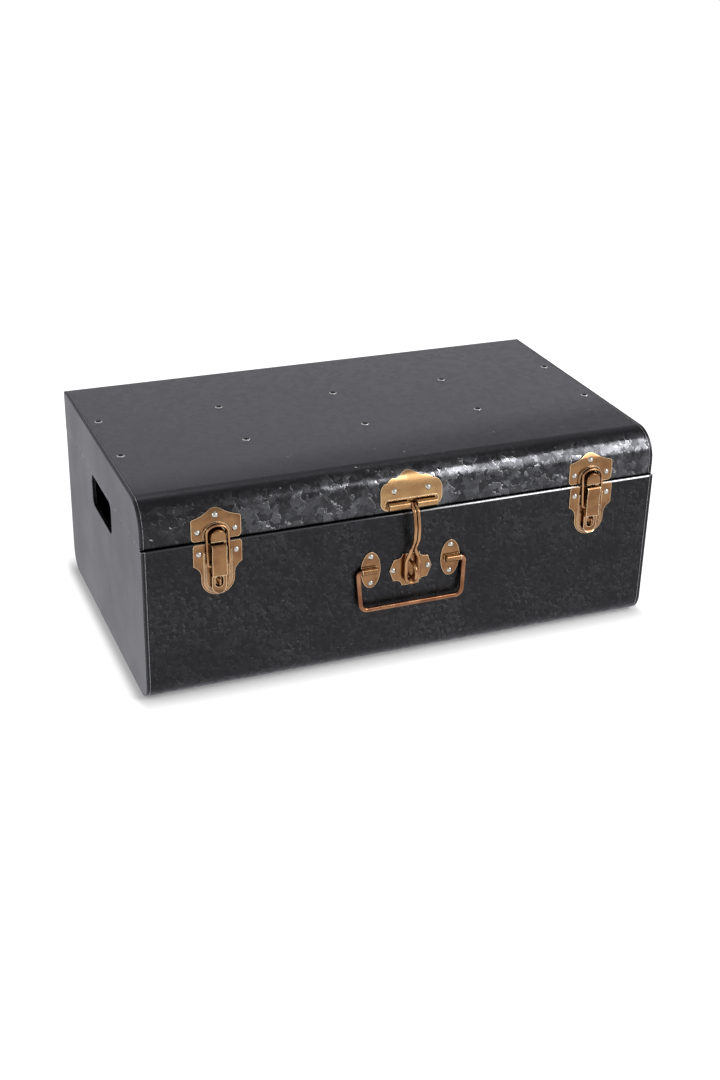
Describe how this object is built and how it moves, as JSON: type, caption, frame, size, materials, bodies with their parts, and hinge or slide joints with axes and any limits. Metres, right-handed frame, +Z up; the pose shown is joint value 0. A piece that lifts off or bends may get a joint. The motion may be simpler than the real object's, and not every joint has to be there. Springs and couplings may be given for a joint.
{
  "type": "small tin trunk",
  "caption": "Sheet-steel storage trunk with a hinged rounded-front lid, draw latches, a wire hasp with staple, a drop handle and hand holes in the ends.",
  "frame": {"origin": "middle of the flat underside", "axes": "+X along the length to the viewer's right when facing the latches, -Y out of the latched front, +Z up"},
  "size_m": [0.55, 0.3474, 0.2119],
  "materials": {
    "body_sheet": "black-tinted galvanised steel sheet, semi-matt, faint spangle",
    "lid_sheet": "black-tinted galvanised steel sheet, satin, visible spangle",
    "body_end_sheet": "dark grey steel sheet with faint rolling streaks",
    "lid_end_sheet": "dark grey steel sheet with faint rolling streaks",
    "stiffener_steel": "folded steel channel, dull dark",
    "lid_rivet": "dark domed rivet heads",
    "brass_plate": "antique brass plated steel, satin, edges worn bright",
    "brass_wire": "antique brass plated steel wire",
    "handle_rod": "copper-toned plated steel rod",
    "steel_rivet": "bright nickel rivet heads",
    "hinge_steel": "darkened steel hinge"
  },
  "bodies": {
    "body": {"body_wrapper": "body_sheet", "body_end_left": "body_end_sheet", "body_end_right": "body_end_sheet", "latch_plate_left": "brass_plate", "latch_plate_right": "brass_plate", "latch_plate_rivets": "steel_rivet", "latch_pins": "brass_wire", "padlock_eyes": "brass_wire", "staple_plate": "brass_plate", "staple": "brass_wire", "staple_rivets": "steel_rivet", "handle_ear_left": "brass_plate", "handle_ear_right": "brass_plate", "handle_ear_rivets": "steel_rivet", "hinge_body_leaf_left": "hinge_steel", "hinge_body_leaf_middle": "hinge_steel", "hinge_body_leaf_right": "hinge_steel", "hinge_pin_left": "hinge_steel", "hinge_pin_middle": "hinge_steel", "hinge_pin_right": "hinge_steel", "hinge_body_rivets": "steel_rivet"},
    "lid": {"lid_wrapper": "lid_sheet", "lid_end_left": "lid_end_sheet", "lid_end_right": "lid_end_sheet", "lid_stiffener_front": "stiffener_steel", "lid_stiffener_back": "stiffener_steel", "lid_rivets_front": "lid_rivet", "lid_rivets_back": "lid_rivet", "latch_strike_left": "brass_plate", "latch_strike_right": "brass_plate", "latch_strike_rivets": "steel_rivet", "hasp_plate": "brass_plate", "hasp_rivets": "steel_rivet", "hinge_lid_leaf_left": "hinge_steel", "hinge_lid_leaf_middle": "hinge_steel", "hinge_lid_leaf_right": "hinge_steel", "hinge_lid_rivets": "steel_rivet"},
    "swing_handle": {"handle": "handle_rod"},
    "link": {"hasp_link": "brass_wire"},
    "lever_left": {"latch_lever_left": "brass_plate"},
    "lever_right": {"latch_lever_right": "brass_plate"},
    "bail_left": {"latch_bail_left": "brass_wire"},
    "bail_right": {"latch_bail_right": "brass_wire"}
  },
  "joints": [
    {"name": "lid_hinge", "type": "hinge", "parent": "body", "child": "lid", "pos_m": [0, 0.1644, 0.16615], "axis": [-1, 0, 0], "range_deg": [0, 105]},
    {"name": "handle_swing", "type": "hinge", "parent": "body", "child": "swing_handle", "pos_m": [0, -0.1632, 0.1084], "axis": [-1, 0, 0], "range_deg": [0, 115]},
    {"name": "link_swing", "type": "hinge", "parent": "lid", "child": "link", "pos_m": [0, -0.1606, 0.174], "axis": [-1, 0, 0], "range_deg": [0, 105]},
    {"name": "lever_left_lift", "type": "hinge", "parent": "body", "child": "lever_left", "pos_m": [-0.201, -0.1648, 0.162], "axis": [-1, 0, 0], "range_deg": [0, 135]},
    {"name": "bail_left_swing", "type": "hinge", "parent": "lever_left", "child": "bail_left", "pos_m": [-0.201, -0.165, 0.143], "axis": [-1, 0, 0], "range_deg": [-170, 0]},
    {"name": "lever_right_lift", "type": "hinge", "parent": "body", "child": "lever_right", "pos_m": [0.201, -0.1648, 0.162], "axis": [-1, 0, 0], "range_deg": [0, 135]},
    {"name": "bail_right_swing", "type": "hinge", "parent": "lever_right", "child": "bail_right", "pos_m": [0.201, -0.165, 0.143], "axis": [-1, 0, 0], "range_deg": [-170, 0]}
  ],
  "couplings": [
    {"joint": "bail_left_swing", "follows": "lever_left_lift", "ratio": -1.25},
    {"joint": "bail_right_swing", "follows": "lever_right_lift", "ratio": -1.25}
  ]
}
